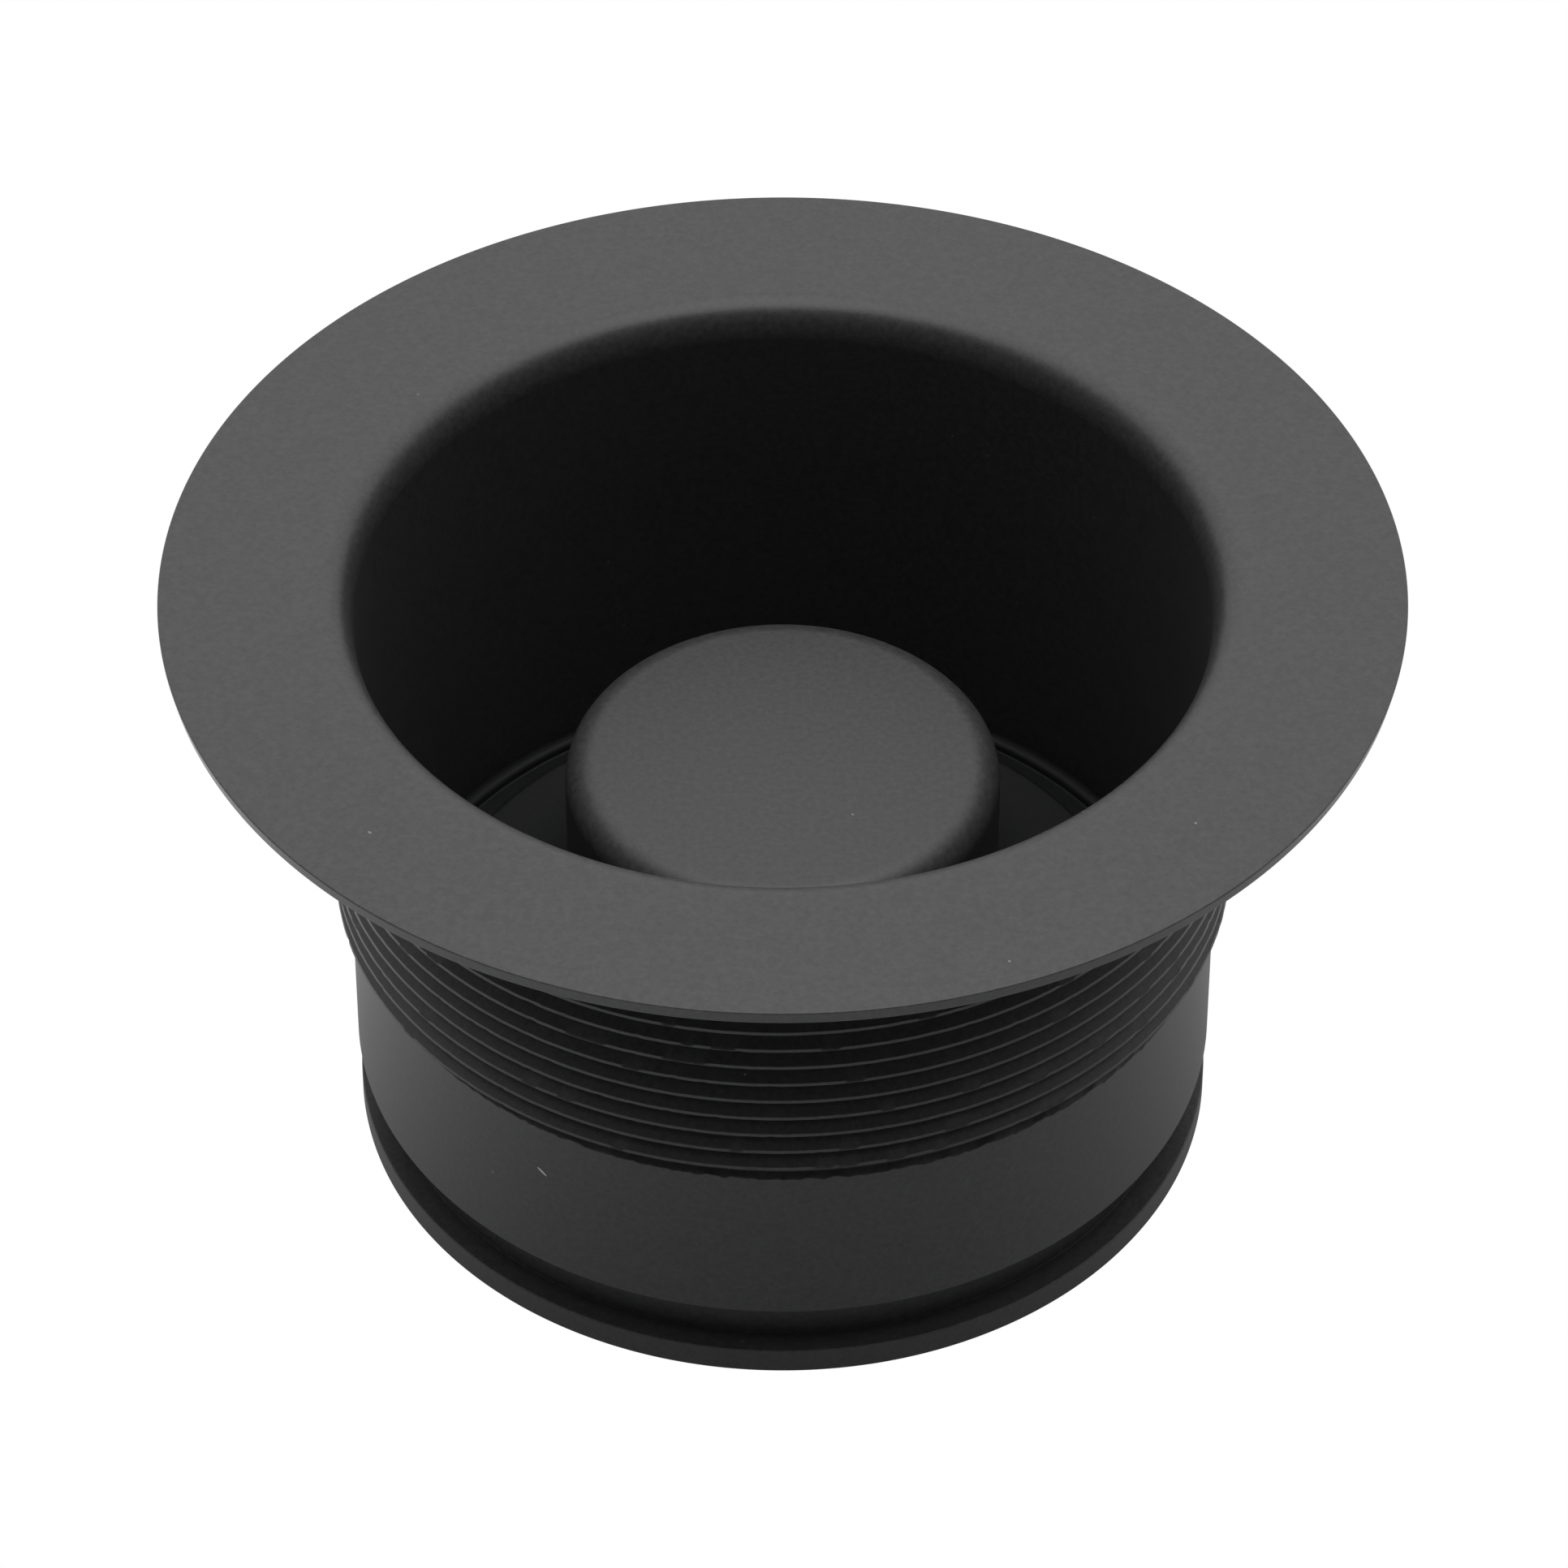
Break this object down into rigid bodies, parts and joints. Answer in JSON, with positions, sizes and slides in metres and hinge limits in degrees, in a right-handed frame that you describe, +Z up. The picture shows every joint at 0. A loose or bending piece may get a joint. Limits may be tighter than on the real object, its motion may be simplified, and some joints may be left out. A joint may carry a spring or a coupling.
{
  "type": "sink drain flange with stopper for a garbage disposal",
  "caption": "Matte black sink flange with a threaded barrel, plain sleeve and snap ring groove for hanging a garbage disposal, with a lift-out knobbed stopper resting on its inner seat.",
  "frame": {"origin": "centre of the foot of the flange, on the face that it stands on", "axes": "+Z up along the flange's axis, from the foot to the rim; -Y is the front, from where the part is usually seen"},
  "size_m": [0.1142, 0.1142, 0.0621],
  "materials": {
    "flange_coat": "matte black coating on turned metal",
    "stopper_coat": "matte black coating on turned metal",
    "seal_rubber": "moulded rubber, satin",
    "stainless": "turned stainless steel, lightly brushed"
  },
  "bodies": {
    "flange": {"sink_flange": "flange_coat"},
    "stopper": {"stopper_knob": "stopper_coat", "stopper_plate": "stopper_coat", "stopper_seal": "seal_rubber", "stopper_backing_plate": "stainless", "stopper_spring_washer": "stainless", "stopper_screw": "stainless"}
  },
  "joints": [
    {"name": "stopper_lift", "type": "slide", "parent": "flange", "child": "stopper", "axis": [0, 0, 1], "range_m": [0, 0.075]}
  ]
}
